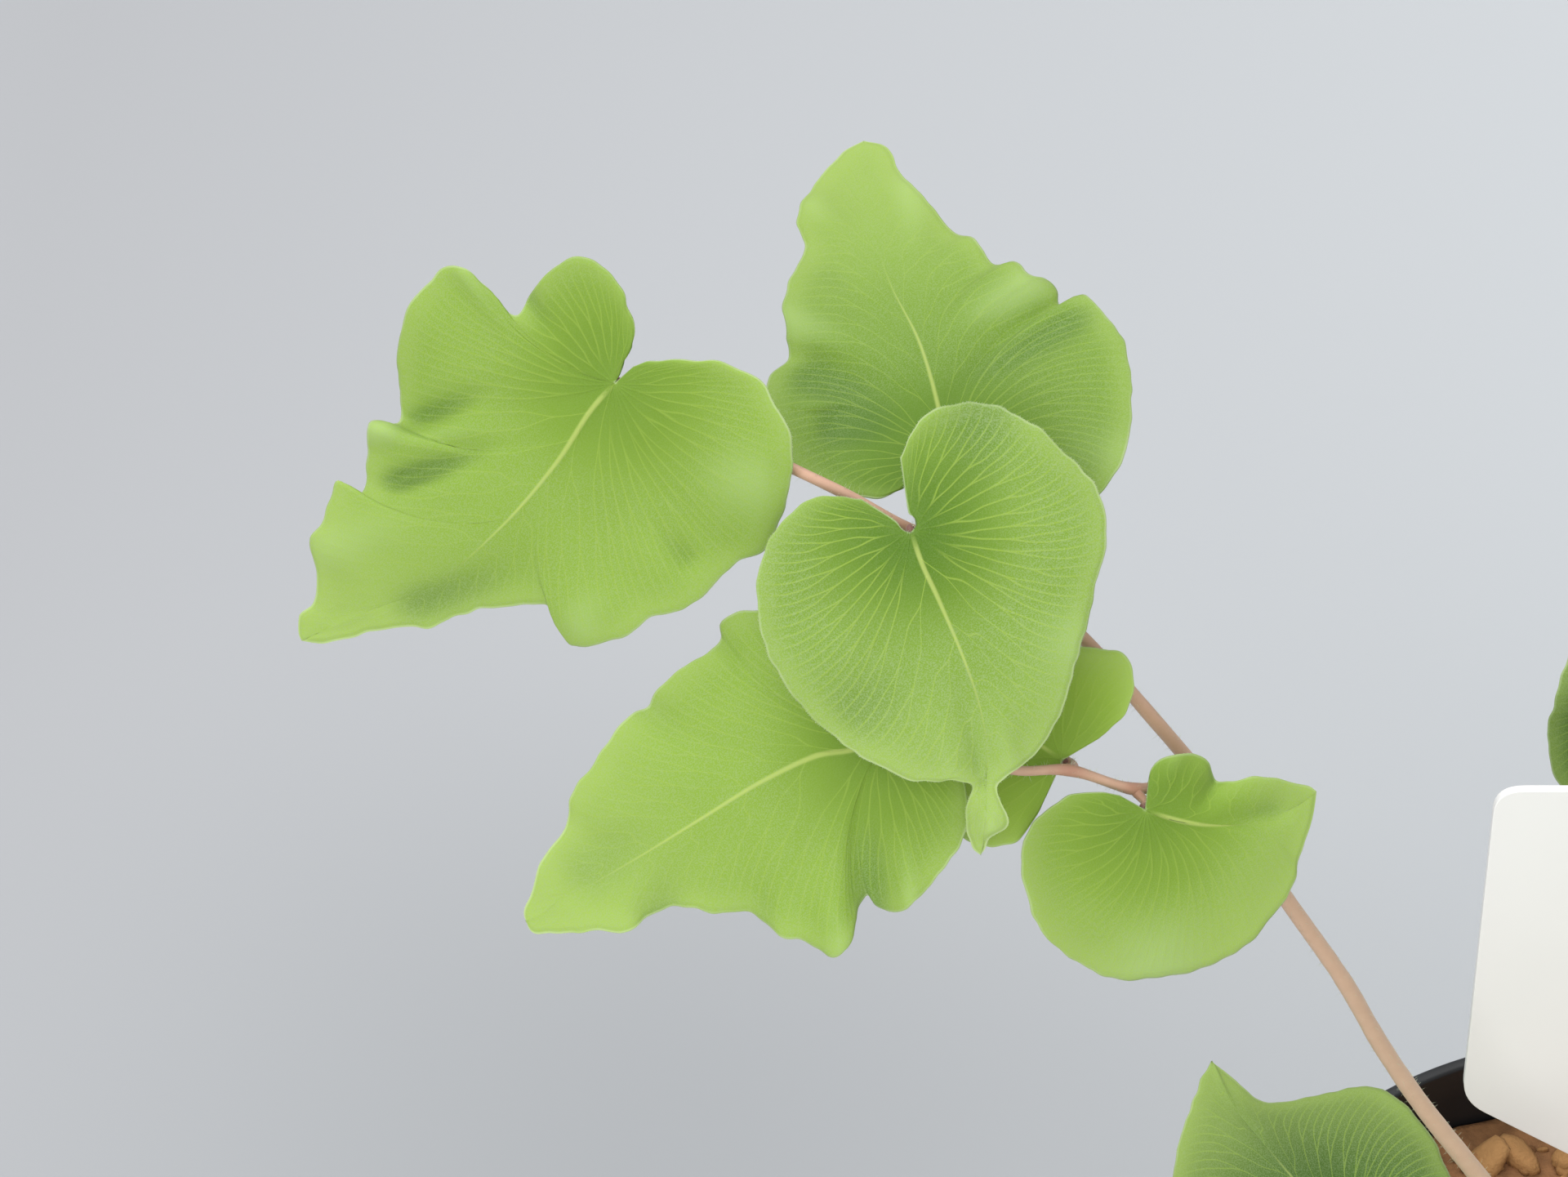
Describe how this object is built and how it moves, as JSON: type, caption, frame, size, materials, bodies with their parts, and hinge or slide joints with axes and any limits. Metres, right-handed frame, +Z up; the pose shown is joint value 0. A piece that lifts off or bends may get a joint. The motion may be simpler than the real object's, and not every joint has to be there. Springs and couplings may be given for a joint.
{
  "type": "potted cliff brake fern",
  "caption": "Small fern in a tapered nursery pot of bark soil, with arching wiry fronds of heart-shaped leaflets and a blank stake label.",
  "frame": {"origin": "centre of the pot's flat bottom, where it meets the surface it stands on", "axes": "+Z up along the pot's axis; the longest frond arches towards -X; the side seen in the picture is -Y"},
  "size_m": [0.2021, 0.1411, 0.1694],
  "materials": {
    "leaflet": "matt velvety yellow-green blade with fine forked veins",
    "stalk": "wiry tan stalk with fine pale hairs",
    "pot": "satin black moulded nursery plastic",
    "soil": "damp reddish-brown bark crumbs",
    "label": "plain white sheet plastic, blank"
  },
  "bodies": {
    "root": {"frond_left_stalk": "stalk", "leaflet_left_tip": "leaflet", "leaflet_left_back": "leaflet", "leaflet_left_front": "leaflet", "leaflet_left_branch_tip": "leaflet", "leaflet_left_branch_outer": "leaflet", "leaflet_left_branch_inner": "leaflet", "frond_low_stalk": "stalk", "leaflet_low_tip": "leaflet", "leaflet_low_side_a": "leaflet", "leaflet_low_side_b": "leaflet", "frond_right_stalk": "stalk", "leaflet_right_side_a": "leaflet", "leaflet_right_side_b": "leaflet", "leaflet_right_side_c": "leaflet", "leaflet_right_side_d": "leaflet", "leaflet_right_tip": "leaflet", "frond_back_stalk": "stalk", "leaflet_back_side_a": "leaflet", "leaflet_back_side_b": "leaflet", "leaflet_back_side_c": "leaflet", "leaflet_back_tip": "leaflet", "frond_front_stalk": "stalk", "leaflet_front_side_a": "leaflet", "leaflet_front_side_b": "leaflet", "leaflet_front_tip": "leaflet", "pot": "pot", "soil": "soil", "plant_label": "label"}
  },
  "joints": []
}
